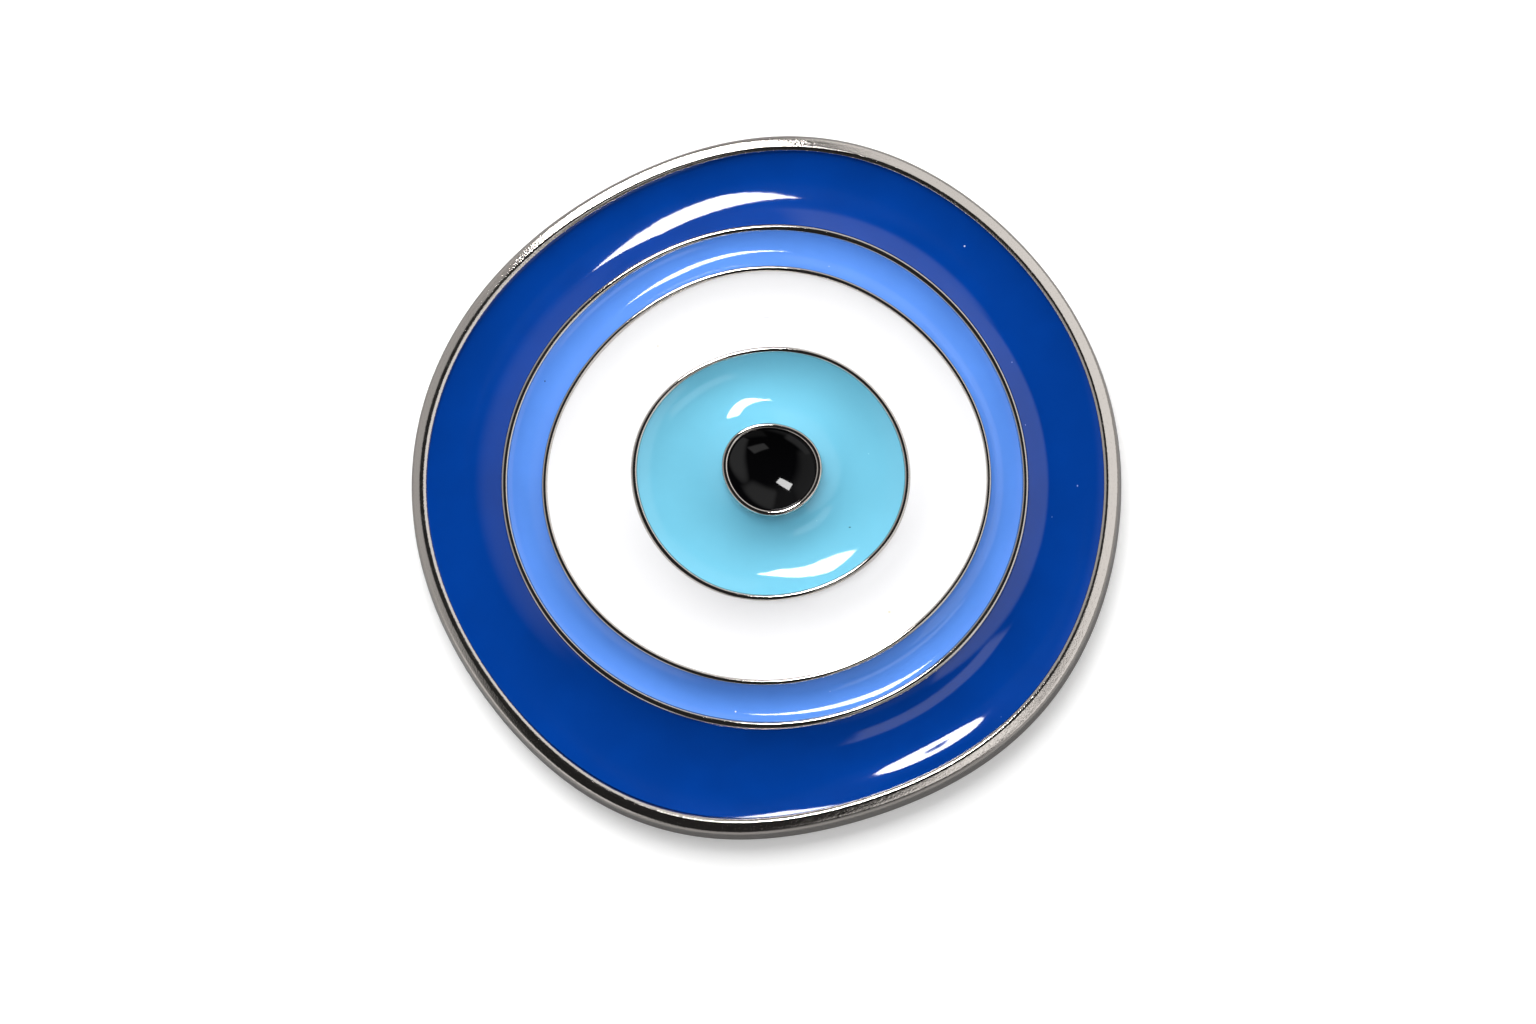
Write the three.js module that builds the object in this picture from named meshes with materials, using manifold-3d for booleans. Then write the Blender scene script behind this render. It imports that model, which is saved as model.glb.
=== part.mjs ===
// Evil eye souvenir magnet: one nickel-plated zinc casting, whose raised metal walls make five cells of
// coloured enamel, with a round ferrite magnet glued into its hollow back.
//
// Millimetres. The piece lies on its back on the plane z = 0 and looks up along +Z, with the top of the eye
// towards +Y. The origin is under the middle of the outline's bounding box.
//
// The outlines are hand drawn, so none of them is a true circle. Every front piece is turned as a plain
// round first and then bent to the outlines by one warp, so the enamel follows its cell's walls.

import * as THREE from "three";
import { mergeVertices } from "three/addons/utils/BufferGeometryUtils.js";
import Module from "manifold-3d";

// ---- Outlines, from the pupil outwards -------------------------------------------------------------
// The bands are measured between the middle lines of the walls, and each starts where the last one ends.

const PUPIL_RADIUS = 3.83;
const IRIS_BAND = 7.17;
const WHITE_BAND = 7;
const SKY_BAND = 3.5;
const COBALT_BAND = 7.5;

// radius: mean radius of the wall's middle line. centre: its middle, from the middle of the rim.
// waves: [lobes round the outline, height, direction of one lobe in degrees from +X].

const COLLAR = {
  radius: PUPIL_RADIUS,
  centre: [0.48, 0.9],
  waves: [[2, 0.15, -16], [3, 0.07, 21]],
};
const IRIS_WALL = {
  radius: COLLAR.radius + IRIS_BAND,
  centre: [0.36, 0.63],
  waves: [[2, 0.49, 0], [4, 0.08, -21]],
};
const WHITE_WALL = {
  radius: IRIS_WALL.radius + WHITE_BAND,
  centre: [0, 0.41],
  waves: [[2, 0.58, 6], [3, 0.17, -30], [4, 0.14, 1]],
};
const SKY_WALL = {
  radius: WHITE_WALL.radius + SKY_BAND,
  centre: [-0.07, 0.48],
  waves: [[2, 0.4, 3], [3, 0.2, -43], [4, 0.07, -10]],
};
const RIM = {
  radius: SKY_WALL.radius + COBALT_BAND,
  centre: [0, 0],
  waves: [[2, 0.29, 32], [3, 0.14, -48], [4, 0.29, -17], [5, 0.14, 27], [6, 0.1, 16]],
};
const OUTLINES = [COLLAR, IRIS_WALL, WHITE_WALL, SKY_WALL, RIM];

// ---- Metal walls -----------------------------------------------------------------------------------

const COLLAR_WIDTH = 0.42;
const IRIS_WALL_WIDTH = 0.45;
const WHITE_WALL_WIDTH = 0.4;
const SKY_WALL_WIDTH = 0.57;

// Each wall rises a step above the one outside it.
const RIM_CREST = 3.4;
const SKY_WALL_RISE = 0.7;
const WHITE_WALL_RISE = 0.6;
const IRIS_WALL_RISE = 0.3;
const COLLAR_RISE = 0.8;
const SKY_WALL_CREST = RIM_CREST + SKY_WALL_RISE;
const WHITE_WALL_CREST = SKY_WALL_CREST + WHITE_WALL_RISE;
const IRIS_WALL_CREST = WHITE_WALL_CREST + IRIS_WALL_RISE;
const COLLAR_CREST = IRIS_WALL_CREST + COLLAR_RISE;

const RIM_BEAD_RADIUS = 0.72; // half-round top of the rim
const RIM_ENAMEL_ANGLE = 60; // where the enamel meets the bead, in degrees from its crest
const RIM_DRAFT = 0.26; // how much wider the outer wall is at the bottom than at the bead
const RIM_FOOT_CHAMFER = 0.2;

const radians = THREE.MathUtils.degToRad;
const RIM_INSIDE = RIM.radius - RIM_BEAD_RADIUS * Math.sin(radians(RIM_ENAMEL_ANGLE));
const RIM_ENAMEL_DROP = RIM_BEAD_RADIUS * (1 - Math.cos(radians(RIM_ENAMEL_ANGLE)));
const FOOT_RADIUS = RIM.radius + RIM_BEAD_RADIUS + RIM_DRAFT;

// ---- Cells: floors of the metal, and the enamel's surface ------------------------------------------
// A cell's depth is taken from the crest of the wall outside it (the collar, for the pupil). Each fill
// climbs its walls to a small drop below their crests and hangs between them, by sag below the line from
// edge to edge.

const PUPIL_DEPTH = 1.9;
const IRIS_DEPTH = 1.65;
const WHITE_DEPTH = 1.2;
const SKY_DEPTH = 1.1;
const COBALT_DEPTH = 1.5;
const ENAMEL_DROP = 0.2; // at the other edges
const PUPIL_DROP = 0.25;
const IRIS_DROP_AT_COLLAR = 0.8;
const SKY_DROP_INSIDE = 0.25;
const COBALT_DROP_INSIDE = 0.3;

const PUPIL_CELL = { floor: COLLAR_CREST - PUPIL_DEPTH, rim: COLLAR_CREST - PUPIL_DROP, sag: 1.3 };
const IRIS_CELL = {
  floor: IRIS_WALL_CREST - IRIS_DEPTH,
  inner: COLLAR_CREST - IRIS_DROP_AT_COLLAR,
  outer: IRIS_WALL_CREST - ENAMEL_DROP,
  sag: 1.25,
};
const WHITE_CELL = {
  floor: WHITE_WALL_CREST - WHITE_DEPTH,
  inner: IRIS_WALL_CREST - ENAMEL_DROP,
  outer: WHITE_WALL_CREST - ENAMEL_DROP,
  sag: 0.75,
};
const SKY_CELL = {
  floor: SKY_WALL_CREST - SKY_DEPTH,
  inner: WHITE_WALL_CREST - SKY_DROP_INSIDE,
  outer: SKY_WALL_CREST - ENAMEL_DROP,
  sag: 0.65,
};
const COBALT_CELL = {
  floor: RIM_CREST - COBALT_DEPTH,
  inner: SKY_WALL_CREST - COBALT_DROP_INSIDE,
  outer: RIM_CREST - RIM_ENAMEL_DROP,
  sag: 0.95,
};

// ---- Back ------------------------------------------------------------------------------------------

const MAGNET_RADIUS = 12.5;
const MAGNET_THICKNESS = 2;
const MAGNET_CHAMFER = 0.25;
const MAGNET_SIDE_CLEARANCE = 0.2;
const GLUE_THICKNESS = 0.2;
const SEAT_RIB_WIDTH = 0.8; // ring that centres the magnet
const SEAT_RIB_HEIGHT = 1.2;
const TRENCH_WIDTH = 2; // between that ring and the wall of the hollow
const HOLLOW_DRAFT = 0.15;

// ---- Fits and fineness -----------------------------------------------------------------------------

const GAP = 0.05; // between pieces that lie against each other
const SIDES = 72;
const MAGNET_SIDES = 64;
const SAG_STEPS = 6;
const BEAD_STEPS = 5;

const HOLLOW_CEILING = MAGNET_THICKNESS + GLUE_THICKNESS + 2 * GAP;
const SEAT_RADIUS = MAGNET_RADIUS + MAGNET_SIDE_CLEARANCE;
const RIB_RADIUS = SEAT_RADIUS + SEAT_RIB_WIDTH;
const HOLLOW_RADIUS = RIB_RADIUS + TRENCH_WIDTH;

// ---- The warp from plain rounds to hand-drawn outlines ----------------------------------------------

const mix = (a, b, t) => a + (b - a) * t;

// How far the outline lies outside (or inside) its mean circle in the direction angle.
function waveHeight(outline, angle) {
  return outline.waves.reduce(
    (sum, [lobes, height, peak]) => sum + height * Math.cos(lobes * (angle - radians(peak))),
    0,
  );
}

// Where a point of a plain round goes. Between two outlines their centres and waves are blended; inside
// the collar the waves die away towards the middle, and outside the rim's middle line they stay the same.
function warped(radius, angle) {
  const next = OUTLINES.findIndex((outline) => outline.radius >= radius);
  let [inner, outer, t] = [RIM, RIM, 0];
  let innerWave = waveHeight(RIM, angle);
  if (next === 0) {
    [inner, outer, t] = [COLLAR, COLLAR, radius / COLLAR.radius];
    innerWave = 0;
  } else if (next > 0) {
    [inner, outer] = [OUTLINES[next - 1], OUTLINES[next]];
    t = (radius - inner.radius) / (outer.radius - inner.radius);
    innerWave = waveHeight(inner, angle);
  }
  const reach = radius + mix(innerWave, waveHeight(outer, angle), t);
  return [
    mix(inner.centre[0], outer.centre[0], t) + reach * Math.cos(angle),
    mix(inner.centre[1], outer.centre[1], t) + reach * Math.sin(angle),
  ];
}

// ---- Solids ----------------------------------------------------------------------------------------

// A plain round about +Z from a profile of [radius, height] points.
function turned(profile, sides) {
  const points = profile.map(([radius, height]) => new THREE.Vector2(radius, height));
  return new THREE.LatheGeometry(points, sides).rotateX(Math.PI / 2);
}

// The same, bent to the outlines and moved so that the whole outline is centred on the origin.
function turnedToOutlines(profile) {
  const geometry = turned(profile, SIDES);
  const position = geometry.getAttribute("position");
  for (let i = 0; i < position.count; i++) {
    const [x, y] = [position.getX(i), position.getY(i)];
    const [warpedX, warpedY] = warped(Math.hypot(x, y), Math.atan2(y, x));
    position.setXY(i, warpedX - MIDDLE.x, warpedY - MIDDLE.y);
  }
  return geometry;
}

// Middle of the bounding box of the rim's foot, the widest outline of the piece.
function middleOfFoot() {
  const box = new THREE.Box2();
  for (let i = 0; i < SIDES; i++)
    box.expandByPoint(new THREE.Vector2(...warped(FOOT_RADIUS, (i * 2 * Math.PI) / SIDES)));
  return box.getCenter(new THREE.Vector2());
}

const MIDDLE = middleOfFoot();

const wasm = await Module();
wasm.setup();

function asManifold(geometry) {
  const bare = geometry.clone();
  bare.deleteAttribute("normal");
  bare.deleteAttribute("uv");
  const merged = mergeVertices(bare, 1e-4);
  return new wasm.Manifold(
    new wasm.Mesh({
      numProp: 3,
      vertProperties: merged.getAttribute("position").array,
      triVerts: new Uint32Array(merged.index.array),
    }),
  );
}

function asGeometry(manifold) {
  const mesh = manifold.getMesh();
  const geometry = new THREE.BufferGeometry();
  geometry.setAttribute("position", new THREE.BufferAttribute(mesh.vertProperties, 3));
  geometry.setIndex(new THREE.BufferAttribute(mesh.triVerts, 1));
  geometry.computeVertexNormals();
  return geometry;
}

// ---- The casting -----------------------------------------------------------------------------------

// Profile over one wall, from the cell floor inside it to the cell floor outside it. The crest is rounded
// by a chamfer of a quarter of the wall's width on each side.
function wallProfile(outline, width, crest, floorInside, floorOutside) {
  const half = width / 2;
  const round = width / 4;
  return [
    [outline.radius - half, floorInside],
    [outline.radius - half, crest - round],
    [outline.radius - half + round, crest],
    [outline.radius + half - round, crest],
    [outline.radius + half, crest - round],
    [outline.radius + half, floorOutside],
  ];
}

// Profile over the rim: straight up the cell's side, round the bead, and down the drafted outer wall.
function rimProfile() {
  const beadHeight = RIM_CREST - RIM_BEAD_RADIUS;
  const profile = [[RIM_INSIDE, COBALT_CELL.floor]];
  for (let i = 0; i <= BEAD_STEPS; i++) {
    const angle = radians(mix(-RIM_ENAMEL_ANGLE, 90, i / BEAD_STEPS));
    profile.push([
      RIM.radius + RIM_BEAD_RADIUS * Math.sin(angle),
      beadHeight + RIM_BEAD_RADIUS * Math.cos(angle),
    ]);
  }
  profile.push([FOOT_RADIUS, RIM_FOOT_CHAMFER]);
  profile.push([FOOT_RADIUS - RIM_FOOT_CHAMFER, 0]);
  return profile;
}

// The hollow in the back, with the ring that centres the magnet left standing in it.
function hollowProfile() {
  const ribFoot = HOLLOW_CEILING - SEAT_RIB_HEIGHT;
  const below = -1;
  return [
    [0, below],
    [HOLLOW_RADIUS + HOLLOW_DRAFT, below],
    [HOLLOW_RADIUS + HOLLOW_DRAFT, 0],
    [HOLLOW_RADIUS, HOLLOW_CEILING],
    [RIB_RADIUS, HOLLOW_CEILING],
    [RIB_RADIUS, ribFoot],
    [SEAT_RADIUS, ribFoot],
    [SEAT_RADIUS, HOLLOW_CEILING],
    [0, HOLLOW_CEILING],
  ];
}

function castingGeometry() {
  const front = [
    [0, PUPIL_CELL.floor],
    ...wallProfile(COLLAR, COLLAR_WIDTH, COLLAR_CREST, PUPIL_CELL.floor, IRIS_CELL.floor),
    ...wallProfile(IRIS_WALL, IRIS_WALL_WIDTH, IRIS_WALL_CREST, IRIS_CELL.floor, WHITE_CELL.floor),
    ...wallProfile(WHITE_WALL, WHITE_WALL_WIDTH, WHITE_WALL_CREST, WHITE_CELL.floor, SKY_CELL.floor),
    ...wallProfile(SKY_WALL, SKY_WALL_WIDTH, SKY_WALL_CREST, SKY_CELL.floor, COBALT_CELL.floor),
    ...rimProfile(),
    [0, 0],
  ];
  const blank = asManifold(turnedToOutlines(front.reverse()));
  return asGeometry(blank.subtract(asManifold(turned(hollowProfile(), SIDES))));
}

// ---- The enamel ------------------------------------------------------------------------------------

// How far the enamel hangs below the line between its edges, from 0 at both edges to 1 in the middle.
const hang = (t) => 4 * t * (1 - t);

// A ring of enamel between two walls.
function ringFill(insideRadius, outsideRadius, cell) {
  const [inner, outer] = [insideRadius + GAP, outsideRadius - GAP];
  const surface = [];
  for (let i = 0; i <= SAG_STEPS; i++) {
    const t = i / SAG_STEPS;
    surface.push([mix(inner, outer, t), mix(cell.inner, cell.outer, t) - cell.sag * hang(t)]);
  }
  const bottom = cell.floor + GAP;
  const profile = [[inner, bottom], [outer, bottom], ...surface.reverse(), [inner, bottom]];
  return turnedToOutlines(profile);
}

// The round drop of enamel inside the collar: a dish.
function pupilFill() {
  const edge = COLLAR.radius - COLLAR_WIDTH / 2 - GAP;
  const profile = [[0, PUPIL_CELL.floor + GAP], [edge, PUPIL_CELL.floor + GAP]];
  for (let i = SAG_STEPS; i >= 0; i--) {
    const t = i / SAG_STEPS;
    profile.push([edge * t, PUPIL_CELL.rim - PUPIL_CELL.sag * (1 - t * t)]);
  }
  return turnedToOutlines(profile);
}

const outside = (outline, width) => outline.radius + width / 2;
const inside = (outline, width) => outline.radius - width / 2;

// ---- Magnet and glue -------------------------------------------------------------------------------

function magnetGeometry() {
  return turned(
    [
      [0, 0],
      [MAGNET_RADIUS - MAGNET_CHAMFER, 0],
      [MAGNET_RADIUS, MAGNET_CHAMFER],
      [MAGNET_RADIUS, MAGNET_THICKNESS - MAGNET_CHAMFER],
      [MAGNET_RADIUS - MAGNET_CHAMFER, MAGNET_THICKNESS],
      [0, MAGNET_THICKNESS],
    ],
    MAGNET_SIDES,
  );
}

function glueGeometry() {
  const bottom = MAGNET_THICKNESS + GAP;
  const edge = MAGNET_RADIUS - MAGNET_CHAMFER;
  const profile = [[0, bottom], [edge, bottom], [edge, bottom + GLUE_THICKNESS], [0, bottom + GLUE_THICKNESS]];
  return turned(profile, MAGNET_SIDES);
}

// ---- Assembly --------------------------------------------------------------------------------------

const FINISHES = {
  nickel: { color: 0xc9c4be, roughness: 0.12, metalness: 1 },
  cobalt: { color: 0x0243a1, roughness: 0.15, metalness: 0 },
  sky: { color: 0x6094ec, roughness: 0.15, metalness: 0 },
  white: { color: 0xfafafa, roughness: 0.15, metalness: 0 },
  turquoise: { color: 0x77cbe7, roughness: 0.15, metalness: 0 },
  black: { color: 0x050505, roughness: 0.1, metalness: 0 },
  ferrite: { color: 0x2f2f31, roughness: 0.6, metalness: 0.2 },
  glue: { color: 0xcdbf95, roughness: 0.4, metalness: 0 },
};

function piece(name, finish, geometry) {
  const mesh = new THREE.Mesh(geometry, new THREE.MeshStandardMaterial(FINISHES[finish]));
  mesh.name = name;
  return mesh;
}

const eye = new THREE.Group();
eye.add(
  piece("casting", "nickel", castingGeometry()),
  piece("pupil_enamel", "black", pupilFill()),
  piece(
    "iris_enamel",
    "turquoise",
    ringFill(outside(COLLAR, COLLAR_WIDTH), inside(IRIS_WALL, IRIS_WALL_WIDTH), IRIS_CELL),
  ),
  piece(
    "white_enamel",
    "white",
    ringFill(outside(IRIS_WALL, IRIS_WALL_WIDTH), inside(WHITE_WALL, WHITE_WALL_WIDTH), WHITE_CELL),
  ),
  piece(
    "sky_enamel",
    "sky",
    ringFill(outside(WHITE_WALL, WHITE_WALL_WIDTH), inside(SKY_WALL, SKY_WALL_WIDTH), SKY_CELL),
  ),
  piece(
    "cobalt_enamel",
    "cobalt",
    ringFill(outside(SKY_WALL, SKY_WALL_WIDTH), RIM_INSIDE, COBALT_CELL),
  ),
  piece("magnet", "ferrite", magnetGeometry()),
  piece("glue_bed", "glue", glueGeometry()),
);

export default eye;
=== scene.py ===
# %% [markdown]
# # An evil eye magnet in nickel and enamel
#
# The real object is a die-cast zinc disc, plated with bright nickel. Low metal walls divide its front into
# five cells, and each cell is filled with glossy coloured enamel. A ferrite magnet is glued into the back.
#
# The CAD model is loaded first and stays fixed. It says where every wall stands and how high it is. This
# file measures it and lays much finer surfaces over it, because what the eye reads in a piece like this is
# the exact curve of every bead of metal and every pool of enamel.

# %% Load the frame
import math

import bpy
import numpy as np
from mathutils import Matrix, Vector


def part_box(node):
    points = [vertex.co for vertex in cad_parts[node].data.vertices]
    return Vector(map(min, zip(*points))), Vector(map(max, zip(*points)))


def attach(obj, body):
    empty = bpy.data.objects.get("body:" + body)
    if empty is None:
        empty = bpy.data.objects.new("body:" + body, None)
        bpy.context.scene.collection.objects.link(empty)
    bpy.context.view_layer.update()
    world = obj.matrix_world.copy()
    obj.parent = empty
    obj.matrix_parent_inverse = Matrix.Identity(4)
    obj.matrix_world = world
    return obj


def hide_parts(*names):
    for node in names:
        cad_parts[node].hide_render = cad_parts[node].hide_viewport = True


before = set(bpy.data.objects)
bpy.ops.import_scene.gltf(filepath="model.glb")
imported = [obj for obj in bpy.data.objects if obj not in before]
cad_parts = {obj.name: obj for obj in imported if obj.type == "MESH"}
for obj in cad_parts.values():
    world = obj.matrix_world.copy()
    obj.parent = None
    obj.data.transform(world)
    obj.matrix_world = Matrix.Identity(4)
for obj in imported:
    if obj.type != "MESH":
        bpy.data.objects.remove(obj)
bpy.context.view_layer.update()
scene = bpy.context.scene
MM = 0.001
TURN = 2 * math.pi
print("frame nodes:", ", ".join(sorted(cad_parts)))

# %% [markdown]
# ## Camera
#
# A flat ornament is looked at from almost straight above. A long lens keeps the circle round, and a few
# degrees of lean towards the bottom of the eye let the camera see the outer wall there. The camera could be
# turned by typing angles, but it is easier to say where it stands and what it looks at.

# %% Camera over the eye
LENS = 100.0
SENSOR_WIDTH = 36.0
CAMERA_DISTANCE = 361 * MM
CAMERA_LEAN = 7.5
CAMERA_SIDE = 285.0
NEAREST_SEEN = 0.01
AIM = Vector((0.26, -2.46, 2.0)) * MM


def toward(side, height):
    """Unit vector towards a side of the piece (degrees from +X) at a height (degrees above the floor)."""
    side, height = math.radians(side), math.radians(height)
    flat = math.cos(height)
    return Vector((flat * math.cos(side), flat * math.sin(side), math.sin(height)))


def facing(back):
    """Rotation of a camera or lamp that looks along minus back, with its own up as near +Y as can be."""
    right = Vector((0, 1, 0)).cross(back).normalized()
    up = back.cross(right)
    return Matrix((right, up, back)).transposed().to_4x4()


def place_camera():
    """The camera stands at AIM + distance * direction and looks back along that direction."""
    back = toward(CAMERA_SIDE, 90 - CAMERA_LEAN)
    data = bpy.data.cameras.new("camera")
    data.lens = LENS
    data.sensor_width = SENSOR_WIDTH
    data.clip_start = NEAREST_SEEN
    camera = bpy.data.objects.new("camera", data)
    camera.matrix_world = Matrix.Translation(AIM + CAMERA_DISTANCE * back) @ facing(back)
    scene.collection.objects.link(camera)
    return camera


scene.camera = place_camera()
print("camera stands at", [round(x, 3) for x in scene.camera.matrix_world.translation])

# %% [markdown]
# ## Light
#
# Polished metal and wet-looking enamel show the room more than themselves, so the room is designed first.
# One long softbox hangs at the upper left, turned on its corner: it is what the enamel and the metal
# mirror. The shadows round the piece are far softer than such a strip would cast, so the shading comes from
# two broad lamps that only show in matt surfaces: a skylight on the same side, and light bounced down by a
# white ceiling. The real room was dark straight overhead, which draws the dark line on every crest.

# %% Lamps
KEY_SIDE, KEY_HEIGHT, KEY_ROLL = 108.5, 46.0, -52.0
KEY_SIZE = (0.225, 0.098)
KEY_GLOW = 30.0
LAMP_DISTANCE = 0.5
CEILING_HEIGHT = 1.6
CEILING_SIZE = (2.4, 2.4)
CEILING_GLOW = 0.56
SKYLIGHT_HEIGHT, SKYLIGHT_DISTANCE = 51.0, 1.0
SKYLIGHT_SIZE = (0.8, 0.8)
SKYLIGHT_GLOW = 5.5


def upright(back, roll=0.0):
    """Rotation of a lamp that shines along minus back, with level upper edge, then rolled by degrees."""
    right = Vector((0, 0, 1)).cross(back).normalized()
    up = back.cross(right)
    return Matrix((right, up, back)).transposed().to_4x4() @ Matrix.Rotation(math.radians(roll), 4, "Z")


def softbox(name, place, turn, size, glow):
    """A rectangle that shines at the piece. Its power is glow * pi * area, so glow is its brightness."""
    data = bpy.data.lights.new(name, "AREA")
    data.shape = "RECTANGLE"
    data.size, data.size_y = size
    data.energy = glow * math.pi * size[0] * size[1]
    lamp = bpy.data.objects.new(name, data)
    lamp.matrix_world = Matrix.Translation(place) @ turn
    scene.collection.objects.link(lamp)
    return lamp


key_back = toward(KEY_SIDE, KEY_HEIGHT)
key = softbox("key", LAMP_DISTANCE * key_back, upright(key_back, KEY_ROLL), KEY_SIZE, KEY_GLOW)
key.visible_diffuse = False
sky_back = toward(KEY_SIDE, SKYLIGHT_HEIGHT)
skylight = softbox("skylight", SKYLIGHT_DISTANCE * sky_back, upright(sky_back), SKYLIGHT_SIZE, SKYLIGHT_GLOW)
skylight.visible_glossy = False
ceiling = softbox("ceiling bounce", (0, 0, CEILING_HEIGHT), Matrix(), CEILING_SIZE, CEILING_GLOW)
ceiling.visible_glossy = False
scene.view_settings.view_transform = "Standard"
print("key softbox at", KEY_HEIGHT, "degrees; bounce from", CEILING_HEIGHT, "m")

# %% [markdown]
# ## Node helpers
#
# Materials are built from nodes in code. A few small helpers keep that readable: they add a node, set or
# link its sockets, do arithmetic, and open a node group with named sockets. A value that is the same over a
# whole surface goes straight into the shader's own socket.

# %% Node helpers


def add_plain(tree, kind, **fields):
    """A new node of this type, with its fields set."""
    node = tree.nodes.new(kind)
    for field, value in fields.items():
        setattr(node, field, value)
    return node


def add(tree, kind, **fields):
    """A new shader node: the type's common prefix is left out."""
    return add_plain(tree, "ShaderNode" + kind, **fields)


def feed(tree, node, **sources):
    """Sets or links input sockets by name; an underscore in a name stands for a space."""
    for name, source in sources.items():
        socket = node.inputs[name.replace("_", " ")]
        if isinstance(source, bpy.types.NodeSocket):
            tree.links.new(source, socket)
        else:
            socket.default_value = source
    return node


print("node helpers: add_plain, add and feed")

# %% Arithmetic, colours and groups


def sums(tree, operation, *terms, clamp=False):
    """One arithmetic step on sockets or numbers, as a Math node's output."""
    node = add(tree, "Math", operation=operation, use_clamp=clamp)
    for socket, term in zip(node.inputs, terms):
        if isinstance(term, bpy.types.NodeSocket):
            tree.links.new(term, socket)
        else:
            socket.default_value = term
    return node.outputs[0]


def ramp(tree, value, low, high, to_low=0.0, to_high=1.0):
    """Maps value from low..high to to_low..to_high with soft ends."""
    node = add(tree, "MapRange", interpolation_type="SMOOTHSTEP")
    terms = {"Value": value, "From Min": low, "From Max": high, "To Min": to_low, "To Max": to_high}
    for name, term in terms.items():
        if isinstance(term, bpy.types.NodeSocket):
            tree.links.new(term, node.inputs[name])
        else:
            node.inputs[name].default_value = term
    return node.outputs[0]


def blend(tree, amount, first, second):
    """Colour between first and second by amount."""
    node = add(tree, "Mix", data_type="RGBA")
    for socket, term in zip((node.inputs[0], node.inputs[6], node.inputs[7]), (amount, first, second)):
        if isinstance(term, bpy.types.NodeSocket):
            tree.links.new(term, socket)
        else:
            socket.default_value = term
    return node.outputs[2]


def open_group(name, inputs, outputs):
    """A new node group with these sockets; returns its tree, what it is given and what it must fill."""
    tree = bpy.data.node_groups.new(name, "ShaderNodeTree")
    for sockets, way in ((inputs, "INPUT"), (outputs, "OUTPUT")):
        for socket, kind in sockets.items():
            tree.interface.new_socket(socket, in_out=way, socket_type="NodeSocket" + kind)
    given = add_plain(tree, "NodeGroupInput").outputs
    return tree, given, add_plain(tree, "NodeGroupOutput").inputs


print("node helpers: sums, ramp, blend and open_group")

# %% [markdown]
# ## Room
#
# What a mirror shows decides how it looks, and a picture of a real room could serve as that. Here the room
# is a world shader instead, because every part of it can then be placed one by one: a grey band along the
# horizon, darkness overhead, and a few pale screens round the table, which stand for its walls, a window
# and two bright doorways. A screen is a rectangle of directions with soft edges. Its node group gets the
# direction of a ray and three unit vectors, and works out how far to the side and how far up from its
# middle the ray passes.

# %% A screen as a node group
TINY = 0.001


def screen_group():
    """Glow * inside(|across / ahead| < half width) * inside(|upward / ahead| < half height), where inside
    fades over Softness on both sides of the edge."""
    inputs = {name: "Vector" for name in ("Direction", "Middle", "Level", "Up")}
    inputs |= {name: "Float" for name in ("Half Width", "Half Height", "Softness", "Glow")}
    tree, given, result = open_group("Screen", inputs, {"Glow": "Float"})

    def along(axis):
        dot = add(tree, "VectorMath", operation="DOT_PRODUCT")
        tree.links.new(given["Direction"], dot.inputs[0])
        tree.links.new(given[axis], dot.inputs[1])
        return dot.outputs["Value"]

    ahead = sums(tree, "MAXIMUM", along("Middle"), TINY)
    soft, glow = given["Softness"], given["Glow"]
    inward = sums(tree, "MULTIPLY", soft, -1.0)
    for axis, half in (("Level", "Half Width"), ("Up", "Half Height")):
        offset = sums(tree, "ABSOLUTE", sums(tree, "DIVIDE", along(axis), ahead))
        beyond = sums(tree, "SUBTRACT", offset, given[half])
        glow = sums(tree, "MULTIPLY", glow, ramp(tree, beyond, inward, soft, 1.0, 0.0))
    tree.links.new(glow, result["Glow"])
    return tree


SCREEN = screen_group()
print("screen group with", len(SCREEN.nodes), "nodes")

# %% [markdown]
# ## Walls, window and doors
#
# The metal shows every screen as a light line along the rim, and the enamel shows it as a faint veil. The
# window sits high, so the flat parts of the pools catch it. The walls are low and broad, so only slopes
# catch them. Rays from the camera skip all that and find white.

# %% Screens of the room
# side, height, width and height of the screen, its roll (all in degrees), its softness and its glow
SCREENS = {
    "window": (311, 52, 28, 12.5, -8, 0.03, 1.6),
    "right wall": (5, 26, 94, 36, -6, 0.06, 1.25),
    "front wall": (300, 20, 44, 22, 0, 0.08, 0.28),
    "left wall": (165, 20, 85, 50, 0, 0.3, 0.6),
    "back wall": (85, 20, 70, 42, 0, 0.2, 0.3),
    "side door": (68, 22, 40, 34, 0, 0.1, 1.1),
    "front door": (222, 10, 50, 26, 0, 0.1, 1.0),
}
HORIZON_GLOW = 0.45
HORIZON_FADE = (0.1, 0.3)
OVERHEAD_GLOW = 0.025
print("room with", len(SCREENS), "screens:", ", ".join(SCREENS))

# %% World shader of the room
PAPER_WHITE = (1, 1, 1, 1)


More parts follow.
